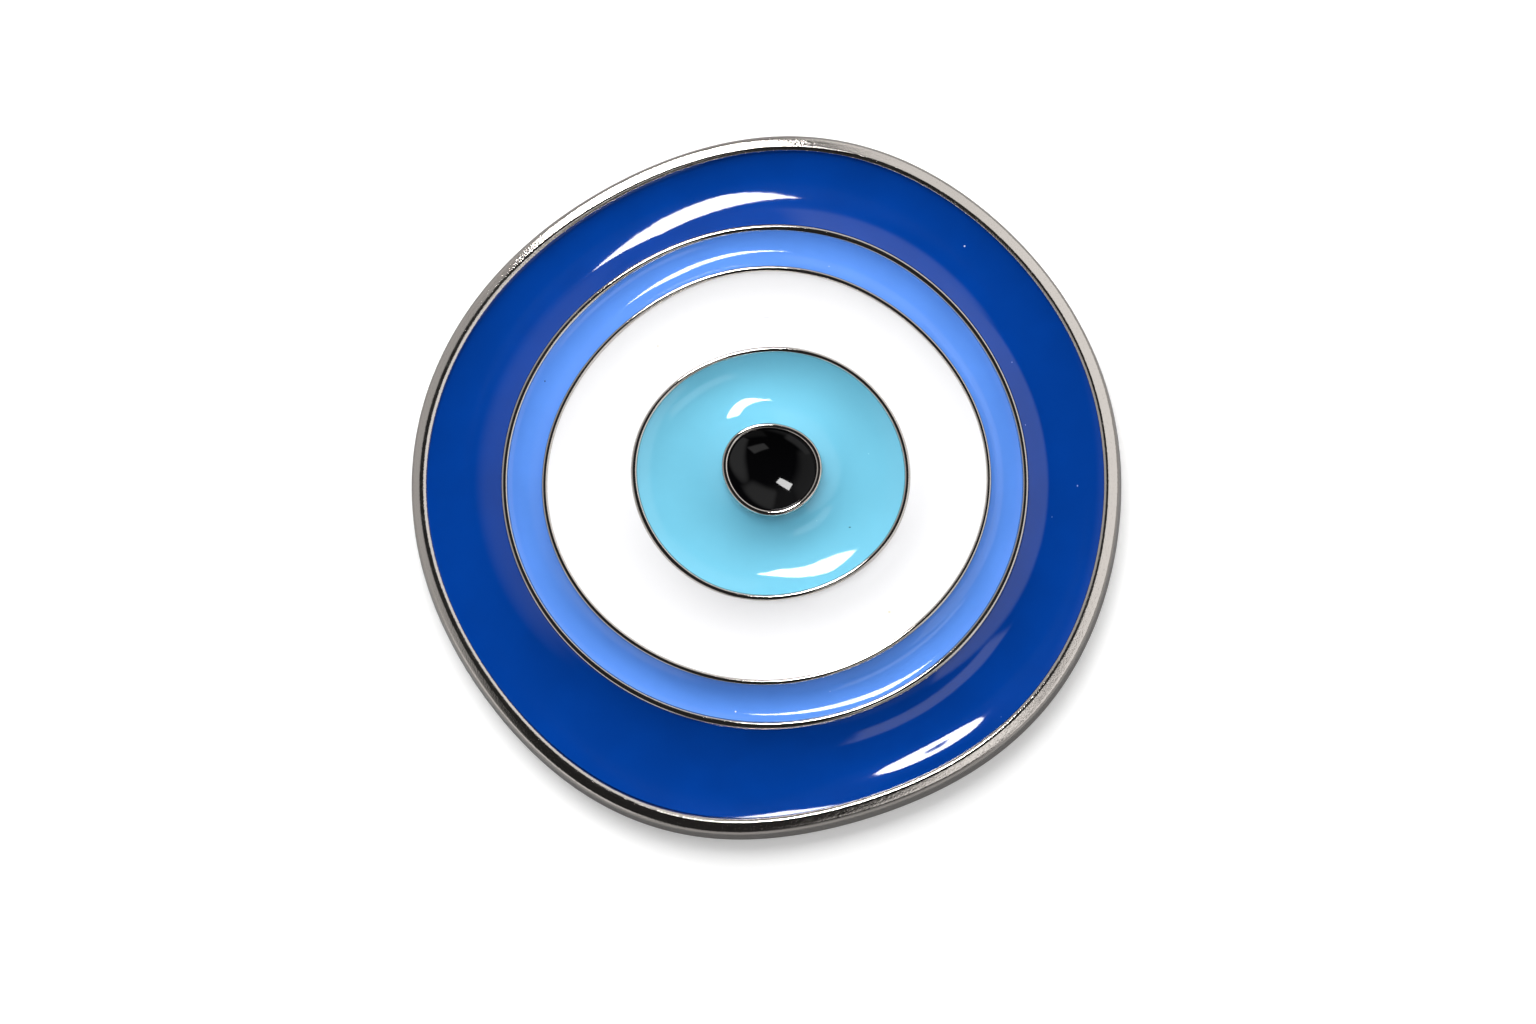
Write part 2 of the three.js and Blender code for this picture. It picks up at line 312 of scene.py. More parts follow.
def make_room():
    """Brightest of the screens and the horizon band, seen by all rays but the camera's."""
    world = bpy.data.worlds.new("room")
    world.use_nodes = True
    tree = world.node_tree
    tree.nodes.clear()
    direction = add(tree, "TexCoord").outputs["Generated"]
    split = add(tree, "SeparateXYZ")
    tree.links.new(direction, split.inputs[0])
    glow = ramp(tree, split.outputs["Z"], *HORIZON_FADE, HORIZON_GLOW, OVERHEAD_GLOW)
    for side, height, width, tall, roll, soft, bright in SCREENS.values():
        screen = add(tree, "Group", node_tree=SCREEN)
        middle = toward(side, height)
        level, up, _ = (column.xyz for column in upright(middle, roll).transposed()[:3])
        tree.links.new(direction, screen.inputs["Direction"])
        half = (math.tan(math.radians(width / 2)), math.tan(math.radians(tall / 2)))
        feed(tree, screen, Middle=middle, Level=level, Up=up, Softness=soft, Glow=bright)
        feed(tree, screen, Half_Width=half[0], Half_Height=half[1])
        glow = sums(tree, "MAXIMUM", glow, screen.outputs["Glow"])
    lit = feed(tree, add(tree, "Background"), Strength=glow)
    seen = feed(tree, add(tree, "Background"), Color=PAPER_WHITE, Strength=1.0)
    choose = add(tree, "MixShader")
    tree.links.new(add(tree, "LightPath").outputs["Is Camera Ray"], choose.inputs[0])
    tree.links.new(lit.outputs[0], choose.inputs[1])
    tree.links.new(seen.outputs[0], choose.inputs[2])
    tree.links.new(choose.outputs[0], add(tree, "OutputWorld").inputs["Surface"])
    return world


scene.world = make_room()
print("world shader with", len(scene.world.node_tree.nodes), "nodes")

# %% [markdown]
# ## Measuring the CAD outlines
#
# None of the outlines is a true circle. Each is a mean radius with a few waves round it, so a short series
# of cosines and sines, fitted to the CAD vertices at one height, gives the smooth line that the vertices
# were taken from. The fit could be skipped by joining the vertices with straight lines, but the rim would
# then show facets in its reflections.

# %% Outlines as series of waves
AROUND = 720
WAVES = 9
SAME_HEIGHT = 0.002 * MM
TWO_LOOPS = 0.1 * MM
angles = np.arange(AROUND) * (TURN / AROUND)


def cloud(node):
    """All vertices of a CAD node, one row of x, y, z for each, in metres."""
    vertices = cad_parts[node].data.vertices
    flat = np.empty(len(vertices) * 3, np.float32)
    vertices.foreach_get("co", flat)
    return flat.reshape(-1, 3).astype(float)


def wave_terms(angle):
    """Columns 1, cos(k angle) and sin(k angle), for k from 1 to WAVES."""
    k = np.arange(1, WAVES + 1)
    turns = np.outer(angle, k)
    return np.hstack([np.ones((len(angle), 1)), np.cos(turns), np.sin(turns)])


def loop_at(node, height, side="outer"):
    """The outline of a CAD node at a height, as AROUND points. The series radius(angle) is fitted about
    the vertices' middle. Where two loops lie at that height the first fit runs between them, and the
    second one keeps the loop on the side asked for."""
    points = cloud(node)
    points = points[np.abs(points[:, 2] - height) < SAME_HEIGHT][:, :2]
    middle = (points.min(0) + points.max(0)) / 2
    radius = np.hypot(*(points - middle).T)
    terms = wave_terms(np.arctan2(*(points - middle).T[::-1]))
    series = np.linalg.lstsq(terms, radius, rcond=None)[0]
    off = radius - terms @ series
    if np.abs(off).max() > TWO_LOOPS:
        kept = off > 0 if side == "outer" else off < 0
        series = np.linalg.lstsq(terms[kept], radius[kept], rcond=None)[0]
    reach = wave_terms(angles) @ series
    return middle + reach[:, None] * np.stack([np.cos(angles), np.sin(angles)], 1)


def push(loop, distance):
    """The loop moved outwards by a distance, along the line from its middle."""
    arm = loop - (loop.min(0) + loop.max(0)) / 2
    return loop + distance * arm / np.hypot(*arm.T)[:, None]


print("outlines are series of", WAVES, "waves, drawn at", AROUND, "angles")

# %% Outlines of the fills
FILLS = ("pupil_enamel", "iris_enamel", "white_enamel", "sky_enamel", "cobalt_enamel")
floors = {fill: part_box(fill)[0].z for fill in FILLS}
inner_edge = {fill: loop_at(fill, floors[fill], "inner") for fill in FILLS[1:]}
outer_edge = {fill: loop_at(fill, floors[fill], "outer") for fill in FILLS}
for fill in FILLS:
    across = np.ptp(outer_edge[fill], axis=0) / MM
    print(f"{fill}: outline {across[0]:.2f} by {across[1]:.2f} mm")

# %% [markdown]
# ## Heights of the enamel and the walls
#
# The walls step up towards the pupil, and each pool of enamel hangs between two of them. Where a CAD vertex
# lies between its cell's two outlines says what it is: at a share of 0 or 1 it belongs to an edge, and half
# way it lies at the bottom of the pool.

# %% Heights read from the frame
EDGE_SHARE = 0.01
WALL_SHARE = 0.1


def share_across(points, inner, outer):
    """How far points lie from the inner loop (0) to the outer loop (1), along the ray from the middle."""
    middle = (outer.min(0) + outer.max(0)) / 2
    arm = points - middle
    direction = np.arctan2(arm[:, 1], arm[:, 0])

    def reach(loop):
        spoke = loop - middle
        turned = np.arctan2(spoke[:, 1], spoke[:, 0])
        order = np.argsort(turned)
        return np.interp(direction, turned[order], np.hypot(*spoke.T)[order], period=2 * np.pi)

    return (np.hypot(*arm.T) - reach(inner)) / (reach(outer) - reach(inner))


def pool_heights(fill):
    """Height of a ring fill's surface at its inner edge, at its outer edge and half way."""
    points = cloud(fill)
    share = share_across(points[:, :2], inner_edge[fill], outer_edge[fill])
    top = [points[np.abs(share - at) < EDGE_SHARE, 2].max() for at in (0, 1, 0.5)]
    return dict(zip(("inner", "outer", "middle"), top))


pools = {fill: pool_heights(fill) for fill in FILLS[1:]}
pupil_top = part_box("pupil_enamel")[1].z
for fill, pool in pools.items():
    print(fill, {name: round(height / MM, 2) for name, height in pool.items()})


def crest_between(inside, outside):
    """Highest vertex of the casting between the outlines of two neighbouring fills."""
    points = cloud("casting")
    share = share_across(points[:, :2], outer_edge[inside], inner_edge[outside])
    return points[(share > -WALL_SHARE) & (share < 1 + WALL_SHARE), 2].max()


crests = {pair: crest_between(*pair) for pair in zip(FILLS, FILLS[1:])}
print("crests:", [round(z / MM, 2) for z in crests.values()])

# %% [markdown]
# ## Surfaces from rows of points
#
# Every new piece is a grid: rows run round the eye, and each row is one more step across its section. Worked
# out as whole arrays, the grid goes to Blender in one call. A section that ends on the middle is closed
# with a fan, and a ring's last row is joined to its first.

# %% Grids into meshes


def grid_faces(rows, columns, ring):
    """Corner numbers of the quads between neighbouring rows; the last row meets the first in a ring."""
    i = np.arange(rows if ring else rows - 1)[:, None]
    j = np.arange(columns)[None, :]
    below, right = (i + 1) % rows, (j + 1) % columns
    corners = [i * columns + j, below * columns + j, below * columns + right, i * columns + right]
    return np.stack(np.broadcast_arrays(*corners), -1).reshape(-1, 4)


def surface(name, rows, tip=None, end=None):
    """A closed mesh from rows of points: a ring, or a shape that closes at the points tip and end."""
    rows = np.asarray(rows)
    count, columns = rows.shape[:2]
    points = rows.reshape(-1, 3)
    quads = grid_faces(count, columns, ring=tip is None)
    faces = quads.tolist()
    if tip is not None:
        j = np.arange(columns)
        right = (j + 1) % columns
        first, last = len(points), len(points) + 1
        points = np.vstack([points, tip, end])
        bottom = (count - 1) * columns
        faces += np.stack([np.full(columns, first), j, right], 1).tolist()
        faces += np.stack([bottom + j, np.full(columns, last), bottom + right], 1).tolist()
    mesh = bpy.data.meshes.new(name)
    mesh.from_pydata(points.tolist(), [], faces)
    mesh.shade_smooth()
    piece = bpy.data.objects.new(name, mesh)
    scene.collection.objects.link(piece)
    print(f"{name}: {len(mesh.polygons)} faces")
    return piece


def row(loop, height):
    """A loop lifted to a height, or to one height for each of its points."""
    return np.column_stack([loop, np.broadcast_to(height, len(loop))])


def finish_piece(piece, node):
    """The piece hides the CAD node it stands for and rides on the one body."""
    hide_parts(node)
    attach(piece, "root")


print("grids run round in", AROUND, "columns")

# %% [markdown]
# ## The casting's walls
#
# Zinc is cast in a steel die and then polished and plated, so every wall ends in a rounded bead. The whole
# casting is one section carried round the eye: it starts under the pupil, climbs over the four walls and
# the rim, and returns along the back. Modelling it with bevels on the CAD mesh would round all edges alike;
# writing the section out gives each bead its own curve.

# %% Beads of the walls
CAD_GAP = 0.05 * MM
BEAD_ROWS = 15


def wall_rows(inside, outside):
    """Rows over the wall between two fills: up its inner side, over a half-round bead, down its outer
    side. The bead is (1 - cos t) / 2 of the way across and sin t of its height up, for t from 0 to pi."""
    inner, outer = outer_edge[inside], inner_edge[outside]
    half = np.hypot(*(outer - inner).T).mean() / 2
    crest = crests[inside, outside]
    rows = [row(inner, floors[inside] - CAD_GAP)]
    for t in np.linspace(0, np.pi, BEAD_ROWS):
        across = inner + (outer - inner) * (1 - math.cos(t)) / 2
        rows.append(row(across, crest - half * (1 - math.sin(t))))
    rows.append(row(outer, floors[outside] - CAD_GAP))
    return rows


print("walls:", len(crests), "with", BEAD_ROWS, "rows over each bead")

# %% [markdown]
# ## The rim
#
# Polishing by hand leaves the rim uneven. Its inner edge is a small bead with a narrow facet on it, its
# crown is nearly flat and leans outwards by more at some sides than at others, and its outer edge is a
# larger bead. A flat face of metal mirrors one part of the room, so these leans decide whether a stretch
# of the rim looks bright or dark. Twelve leans round the rim, smoothed between, are enough for that.

# %% The rim measured
metal = cloud("casting")
beyond = share_across(metal[:, :2], inner_edge["cobalt_enamel"], outer_edge["cobalt_enamel"]) > 1
rim_levels = np.unique(metal[beyond, 2].round(6))
FOOT_HEIGHT = rim_levels[1]
BEAD_FOOT, RIM_CREST = rim_levels[[-4, -1]]
foot_loop, bead_loop, crest_loop = (loop_at("casting", z) for z in (FOOT_HEIGHT, BEAD_FOOT, RIM_CREST))
print("rim: foot, bead and crest at", (rim_levels[[1, -4, -1]] / MM).round(2).tolist())

# %% The crown's lean
# degrees outwards, every 30 degrees from +X
CROWN_LEAN = (28, 30, 29, 14, 18, 24, 29, 26, 16, 12, 18, 26)
LEAN_BLEND = AROUND // 10


def crown_lean():
    """Lean of the rim's crown in radians at every column: the twelve values, smoothed between."""
    sides = np.arange(len(CROWN_LEAN)) * (TURN / len(CROWN_LEAN))
    lean = np.radians(np.interp(angles, sides, CROWN_LEAN, period=TURN))
    window = np.hanning(LEAN_BLEND)
    wrapped = np.concatenate([lean, lean, lean])
    return np.convolve(wrapped, window / window.sum(), "same")[AROUND : 2 * AROUND]


print("crown leans", min(CROWN_LEAN), "to", max(CROWN_LEAN), "degrees outwards")

# %% Section of the rim
RIM_INSIDE_ANGLE = math.radians(-64)
INNER_BEAD, OUTER_BEAD = 0.33 * MM, 0.58 * MM
BEAD_UNEVENNESS, BEAD_SIDE = 0.36, math.radians(215)
INNER_FACET, INNER_FACET_LEAN = 0.12 * MM, math.radians(-34)
INSIDE_ROWS, INNER_ROWS, OUTER_ROWS, WALL_ROWS, FOOT_ROWS = 6, 9, 11, 5, 5
STRAIGHT_SHARES = (0.25, 0.5, 0.75)


def rim_rows():
    """Rows over the rim. Its inner bead adds radius * (sin t, cos t) for a turn t from steep inside to the
    crown's lean, with a short facet on the way. The crown goes straight, and the outer bead turns down to the
    widest line. Below it come the drafted outer wall and the round foot. The inner bead was polished more on
    one side: its radius is INNER_BEAD * (1 + unevenness * cos(angle - side))."""
    inside = crest_loop + (bead_loop - crest_loop) * math.sin(RIM_INSIDE_ANGLE)
    across = bead_loop - inside
    width = np.hypot(*across.T)
    lean = crown_lean()
    bead = INNER_BEAD * (1 + BEAD_UNEVENNESS * np.cos(angles - BEAD_SIDE))
    facet = INNER_FACET * np.array([math.cos(INNER_FACET_LEAN), -math.sin(INNER_FACET_LEAN)])
    start = bead * (np.sin(lean) - math.sin(RIM_INSIDE_ANGLE)) + facet[0]
    straight = width - start - OUTER_BEAD * (1 - np.sin(lean))
    fall = bead * (1 - np.cos(lean)) + straight * np.tan(lean)
    section = []
    for turn in np.linspace(RIM_INSIDE_ANGLE, INNER_FACET_LEAN, INSIDE_ROWS):
        reach = bead * (math.sin(turn) - math.sin(RIM_INSIDE_ANGLE))
        section.append((reach, -bead * (1 - math.cos(turn)) - facet[1]))
    for share in np.linspace(0, 1, INNER_ROWS):
        turn = INNER_FACET_LEAN + (lean - INNER_FACET_LEAN) * share
        reach = facet[0] + bead * (np.sin(turn) - math.sin(RIM_INSIDE_ANGLE))
        section.append((reach, -bead * (1 - np.cos(turn))))
    for share in STRAIGHT_SHARES:
        reach = start + straight * share
        section.append((reach, -bead * (1 - np.cos(lean)) - straight * share * np.tan(lean)))
    for share in np.linspace(0, 1, OUTER_ROWS):
        turn = lean + (math.pi / 2 - lean) * share
        reach = start + straight + OUTER_BEAD * (np.sin(turn) - np.sin(lean))
        section.append((reach, -fall - OUTER_BEAD * (np.cos(lean) - np.cos(turn))))
    rows = [row(inside, floors["cobalt_enamel"] - CAD_GAP)]
    rows += [row(inside + across * (reach / width)[:, None], RIM_CREST + z) for reach, z in section]
    widest = RIM_CREST + section[-1][1]
    for share in np.linspace(0, 1, WALL_ROWS + 1)[1:]:
        wall = bead_loop + (foot_loop - bead_loop) * share
        rows.append(row(wall, widest + (FOOT_HEIGHT - widest) * share))
    for t in np.linspace(0, np.pi / 2, FOOT_ROWS + 1)[1:]:
        inset = push(foot_loop, -FOOT_HEIGHT * (1 - math.cos(t)))
        rows.append(row(inset, FOOT_HEIGHT * (1 - math.sin(t))))
    return rows


rim = rim_rows()
print("rim:", len(rim), "rows")

# %% [markdown]
# ## The hollow back
#
# The back is cored out to save metal, and a low ring centres the magnet. These parts are true circles, so
# their rows are circles about the origin. The flat land between the foot and the hollow carries no rows of
# its own: two loops with straight faces between them are enough for a flat.

# %% The back measured
BACK_ROUNDING = 0.15 * MM
MOST_CUT = 0.45


def circle(radius):
    """A true circle about the origin, as AROUND points."""
    return radius * np.stack([np.cos(angles), np.sin(angles)], 1)


def rounded(corners, radius, steps=4):
    """The line through corners with each middle one rounded, by the curve
    (1-t)^2 a + 2 t (1-t) corner + t^2 b between points a and b at that radius from the corner, but never
    past MOST_CUT of a side."""
    corners = np.asarray(corners, float)
    points = [corners[0]]
    for before, corner, after in zip(corners, corners[1:], corners[2:]):
        a = corner + (before - corner) * min(MOST_CUT, radius / np.linalg.norm(before - corner))
        b = corner + (after - corner) * min(MOST_CUT, radius / np.linalg.norm(after - corner))
        for t in np.linspace(0, 1, steps):
            points.append((1 - t) ** 2 * a + 2 * t * (1 - t) * corner + t**2 * b)
    points.append(corners[-1])
    return points


from_middle = np.hypot(*metal[:, :2].T)
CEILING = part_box("glue_bed")[1].z + CAD_GAP
ceiling_rings = np.unique(from_middle[np.abs(metal[:, 2] - CEILING) < SAME_HEIGHT].round(5))
SEAT, RIB_OUTSIDE, HOLLOW = ceiling_rings[1:]
RIB_FOOT = metal[(metal[:, 2] > FOOT_HEIGHT + MM / 2) & (from_middle < RIB_OUTSIDE), 2].min()
MOUTH = from_middle[(metal[:, 2] < SAME_HEIGHT) & ~beyond].max()
print("hollow mouth, seat and rib in mm:", [round(r / MM, 2) for r in (MOUTH, SEAT, RIB_OUTSIDE)])

# %% Rows of the back


def back_rows():
    """Circles from the hollow's mouth up its wall, round the rib that centres the magnet, to the ceiling."""
    corners = [
        (MOUTH + MM, 0),
        (MOUTH, 0),
        (HOLLOW, CEILING),
        (RIB_OUTSIDE, CEILING),
        (RIB_OUTSIDE, RIB_FOOT),
        (SEAT, RIB_FOOT),
        (SEAT, CEILING),
        (SEAT - MM, CEILING),
    ]
    return [row(circle(radius), height) for radius, height in rounded(corners, BACK_ROUNDING)]


back = back_rows()
print("back:", len(back), "rows")

# %% [markdown]
# ## One closed skin
#
# The sections are now laid end to end. They could be joined as separate meshes, but a seam in polished
# metal shows as a line of light, so the front, the rim and the back become one grid without a seam.

# %% Casting in one closed skin


def make_casting():
    """All the sections end to end, closed by a fan under the pupil and a fan over the magnet."""
    rows = []
    for pair in crests:
        rows += wall_rows(*pair)
    rows += rim + back
    middle = (outer_edge["pupil_enamel"].min(0) + outer_edge["pupil_enamel"].max(0)) / 2
    tip = [*middle, floors["pupil_enamel"] - CAD_GAP]
    return surface("nickel_casting", rows, tip, [0, 0, CEILING])


casting = make_casting()
finish_piece(casting, "casting")

# %% [markdown]
# ## Enamel
#
# Enamel is poured as a thick liquid. It wets the metal and creeps up the walls, so each pool ends as a
# shallow trough: steep beside the walls and nearly flat in the middle. The surface is a straight line from
# edge to edge with a hanging curve taken off it. Hand filling is never even, so a few slow waves run
# through each pool, and low mounds and hollows lie where the needle stopped or moved on. A bump map could
# fake them, but these lumps are wide, and real shape bends the reflections as they are bent in enamel.

# %% Curves of a pool
LOBES = range(1, 9)
LOBE_FADE = 0.8
LOBE_LEAN = 2.5


def hang(t):
    """4 t (1 - t): 0 at both edges of a pool and 1 half way, the curve of a hanging skin."""
    return 4 * t * (1 - t)


def swell(t, angle, share, spread, reach, height):
    """A low mound or hollow: height * exp(-(turn / spread)^2 - ((t - share) / reach)^2)."""
    turn = (np.degrees(angles) - angle + 180) % 360 - 180
    around = np.exp(-((turn / spread) ** 2))
    return height * np.exp(-(((t - share) / reach) ** 2))[:, None] * around[None, :]


def slow_waves(t, seed, height):
    """A few random waves along and across the pool, dying away at its edges, as a grid of heights."""
    draw = np.random.default_rng(seed)
    total = np.zeros((len(t), AROUND))
    for lobes in LOBES:
        lean = draw.uniform(-LOBE_LEAN, LOBE_LEAN) * t[:, None]
        total += np.cos(lobes * angles[None, :] + draw.uniform(0, TURN) + lean) / lobes**LOBE_FADE
    return height * total * hang(t)[:, None]


print("a pool carries", len(LOBES), "slow waves")

# %% A ring of enamel
POOL_STEPS = 44
UNDER_WALL = 0.04 * MM


def ring_fill(name, fill, seed, unevenness, swells=()):
    """A ring of enamel: height = line from edge to edge - sag * hang(t) + waves + swells, closed below."""
    inner = push(inner_edge[fill], -UNDER_WALL)
    outer = push(outer_edge[fill], UNDER_WALL)
    pool = pools[fill]
    sag = (pool["inner"] + pool["outer"]) / 2 - pool["middle"]
    t = (1 - np.cos(np.linspace(0, np.pi, POOL_STEPS))) / 2
    line = pool["inner"] + (pool["outer"] - pool["inner"]) * t
    heights = (line - sag * hang(t))[:, None] + slow_waves(t, seed, unevenness)
    for angle, share, spread, reach, height in swells:
        heights = heights + swell(t, angle, share, spread, reach, height * MM)
    rows = [row(inner, floors[fill])]
    rows += [row(inner + (outer - inner) * share, z) for share, z in zip(t, heights)]
    rows.append(row(outer, floors[fill]))
    return surface(name, rows)


print("pools have", POOL_STEPS, "steps from wall to wall")

# %% Pools between the walls
# angle (degrees), share of the way across, spread (degrees), reach across and height (mm)
COBALT_SWELLS = (
    (302, 0.86, 15, 0.14, 0.42),
    (300, 1.15, 24, 0.3, -0.1),
    (266, 1.1, 22, 0.3, -0.3),
    (125, 1.15, 40, 0.3, -0.2),
    (100, 0.42, 50, 0.16, 0.05),
    (215, 1.02, 40, 0.2, 0.12),
)
IRIS_SWELLS = ((117, 0.27, 22, 0.25, 0.1), (300, 0.72, 20, 0.22, 0.1))
POOL_WAVES, SKY_WAVES = 0.004 * MM, 0.003 * MM

cobalt = ring_fill("cobalt_pool", "cobalt_enamel", 3, POOL_WAVES, COBALT_SWELLS)
sky = ring_fill("sky_pool", "sky_enamel", 5, SKY_WAVES)
white = ring_fill("white_pool", "white_enamel", 7, POOL_WAVES)
iris = ring_fill("iris_pool", "iris_enamel", 11, POOL_WAVES, IRIS_SWELLS)
finish_piece(cobalt, "cobalt_enamel")
finish_piece(sky, "sky_enamel")
finish_piece(white, "white_enamel")
finish_piece(iris, "iris_enamel")

# %% [markdown]
# ## The pupil
#
# The collar of the pupil stands highest and is filled least, so the black enamel is a deep round dish. It
# set while the piece was not quite level, and its lowest point lies off the middle. A turned profile
# would be a perfect bowl; a lean that fades at the collar and at the middle makes the poured one.

# %% Dish in the pupil
drop_points = cloud("pupil_enamel")
PUPIL_LOW = drop_points[drop_points[:, 2] > floors["pupil_enamel"] + SAME_HEIGHT, 2].min()
PUPIL_LEAN, PUPIL_LEAN_SIDE = 0.42 * MM, math.radians(45)
PUPIL_ROWS = 29


def pupil_drop():
    """A dish: height = rim - sag * (1 - t^2) - lean * t * (1 - t^4) * cos(angle - side) from the middle
    (t = 0) to the collar (t = 1). The lean moves its lowest point to one side."""
    tilt = PUPIL_LEAN * np.cos(angles - PUPIL_LEAN_SIDE)
    edge = push(outer_edge["pupil_enamel"], UNDER_WALL)
    middle = (edge.min(0) + edge.max(0)) / 2
    bottom = floors["pupil_enamel"]
    top = []
    for t in np.linspace(0, 1, PUPIL_ROWS + 1)[1:]:
        height = pupil_top - (pupil_top - PUPIL_LOW) * (1 - t**2) - tilt * t * (1 - t**4)
        top.append(row(middle + (edge - middle) * t, height))
    return surface("pupil_drop", [*top, row(edge, bottom)], [*middle, PUPIL_LOW], [*middle, bottom])


pupil = pupil_drop()
finish_piece(pupil, "pupil_enamel")

# %% [markdown]
# ## Magnet and glue
#
# The magnet is a pressed and ground ferrite disc. It is turned about the origin from its own CAD box, with
# small worn edges. Two-part glue was pushed up round it when it was set in, so the glue's edge is uneven.

# %% Magnet and glue bed
MAGNET_EDGE, GLUE_EDGE = 0.25 * MM, 0.09 * MM
GLUE_WOBBLE = 0.12 * MM
EDGE_STEPS = 6


def turned_disc(name, low, high, edge, wobble=0.0, seed=1):
    """A disc between two heights with rounded edges; its radius varies by wobble in slow waves."""
    radius = high.x
    corners = [(0, high.z), (radius, high.z), (radius, low.z), (0, low.z)]
    section = rounded(corners, edge, EDGE_STEPS)[1:-1]
    draw = np.random.default_rng(seed)
    uneven = sum(np.cos(k * angles + draw.uniform(0, TURN)) / k for k in range(2, 14)) * wobble
    rows = [row(circle(1) * (r + uneven)[:, None], z) for r, z in section]
    return surface(name, rows, [0, 0, high.z], [0, 0, low.z])


magnet = turned_disc("ferrite_disc", *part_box("magnet"), MAGNET_EDGE)
glue = turned_disc("glue_pad", *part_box("glue_bed"), GLUE_EDGE, GLUE_WOBBLE)
finish_piece(magnet, "magnet")
finish_piece(glue, "glue_bed")

# %% [markdown]
# ## Floor
#
# The table is a sheet of matt white card, far larger than the view. It could be a curved studio sweep, but
# a flat sheet lies under the piece from every side.

# %% Floor
FLOOR_HALF = 3.0


def make_floor():
    """One square at z = 0."""
    corners = [(-1, -1), (1, -1), (1, 1), (-1, 1)]
    mesh = bpy.data.meshes.new("table")
    mesh.from_pydata([(x * FLOOR_HALF, y * FLOOR_HALF, 0) for x, y in corners], [], [(0, 1, 2, 3)])
    floor = bpy.data.objects.new("table", mesh)
    scene.collection.objects.link(floor)
    return floor


floor = make_floor()
print("table of", 2 * FLOOR_HALF, "m")

# %% [markdown]
# ## Surface effects
#
# Three effects are shared by several finishes, so each is a node group with named sockets. *Speckle* turns
# a few of many small cells into dots. *Ripple* gives the fine unevenness of a poured skin. *Mark* is one
# stretched spot at a place of its own, for the dust and stains that the eye finds first. Painted textures
# would do the same at one size only; noise in Object coordinates, in metres, is sharp at any distance and
# stays put on the piece.

# %% Speckle group


def speckle_group():
    """Dots where a cell's own random number is under Share; a dot fills Size of its cell's width."""
    inputs = {"Cell": "Float", "Share": "Float", "Size": "Float"}
    tree, given, result = open_group("Speckle", inputs, {"Mask": "Float"})
    place = add(tree, "TexCoord").outputs["Object"]
    cells = add(tree, "TexVoronoi")
    tree.links.new(place, cells.inputs["Vector"])
    tree.links.new(sums(tree, "DIVIDE", 1.0, given["Cell"]), cells.inputs["Scale"])
    lot = add(tree, "SeparateColor")
    tree.links.new(cells.outputs["Color"], lot.inputs[0])
    chosen = sums(tree, "LESS_THAN", lot.outputs[0], given["Share"])
    soft = sums(tree, "MULTIPLY", given["Size"], 0.5)
    dot = ramp(tree, cells.outputs["Distance"], soft, given["Size"], 1.0, 0.0)
    tree.links.new(sums(tree, "MULTIPLY", chosen, dot), result["Mask"])
    return tree


SPECKLE = speckle_group()
print("speckle group with", len(SPECKLE.nodes), "nodes")

# %% Ripple group


def ripple_group():
    """Noise of one wavelength in metres, from 0 to 1."""
    inputs = {"Wavelength": "Float", "Detail": "Float"}
    tree, given, result = open_group("Ripple", inputs, {"Height": "Float"})
    noise = add(tree, "TexNoise")
    tree.links.new(add(tree, "TexCoord").outputs["Object"], noise.inputs["Vector"])
    tree.links.new(sums(tree, "DIVIDE", 1.0, given["Wavelength"]), noise.inputs["Scale"])
    tree.links.new(given["Detail"], noise.inputs["Detail"])
    tree.links.new(noise.outputs[0], result["Height"])
    return tree


RIPPLE = ripple_group()
print("ripple group with", len(RIPPLE.nodes), "nodes")

# %% Mark group
MARK_CORE = 0.55


def mark_group():
    """1 inside an ellipse at Place, fading to 0 at its edge: the length of (place - Place) / Reach, from
    MARK_CORE to 1."""
    inputs = {"Place": "Vector", "Reach": "Vector"}
    tree, given, result = open_group("Mark", inputs, {"Mask": "Float"})
    away = add(tree, "VectorMath", operation="SUBTRACT")
    tree.links.new(add(tree, "TexCoord").outputs["Object"], away.inputs[0])
    tree.links.new(given["Place"], away.inputs[1])
    scaled = add(tree, "VectorMath", operation="DIVIDE")
    tree.links.new(away.outputs[0], scaled.inputs[0])
    tree.links.new(given["Reach"], scaled.inputs[1])
    length = add(tree, "VectorMath", operation="LENGTH")
    tree.links.new(scaled.outputs[0], length.inputs[0])
    tree.links.new(ramp(tree, length.outputs["Value"], MARK_CORE, 1.0, 1.0, 0.0), result["Mask"])
    return tree


MARK = mark_group()
print("mark group with", len(MARK.nodes), "nodes")

# %% Small helpers for materials
# most values of a noise lie between these
MOST_NOISE = (0.3, 0.7)


def use(tree, group, **settings):
    """A node group placed in a material; returns its first output."""
    return feed(tree, add(tree, "Group", node_tree=group), **settings).outputs[0]


def bump(tree, height, distance):
    """A normal from a height between 0 and 1, scaled to a distance in metres."""
    return feed(tree, add(tree, "Bump"), Height=height, Distance=distance, Strength=1.0).outputs[0]


def shader(name, **settings):
    """A material with one Principled shader, its sockets set by name."""
    material = bpy.data.materials.new(name)
    material.use_nodes = True
    tree = material.node_tree
    body = feed(tree, tree.nodes["Principled BSDF"], **settings)
    return material, tree, body


print("material helpers: use, bump and shader")

# %% [markdown]
# ## Nickel
#
# Bright nickel is a little warmer and darker than chrome. The plating copies the cast zinc below it, which
# is full of tiny pits, so the reflection on the crests breaks up into a fine grain. Deep bumps would throw
# sparks of light from the thin walls, so the bump is very low and the pits are matt dots instead.

# %% Nickel plate
NICKEL_COLOUR = (0.66, 0.615, 0.575, 1)
GRAIN, GRAIN_DEPTH = 0.12 * MM, 0.014 * MM
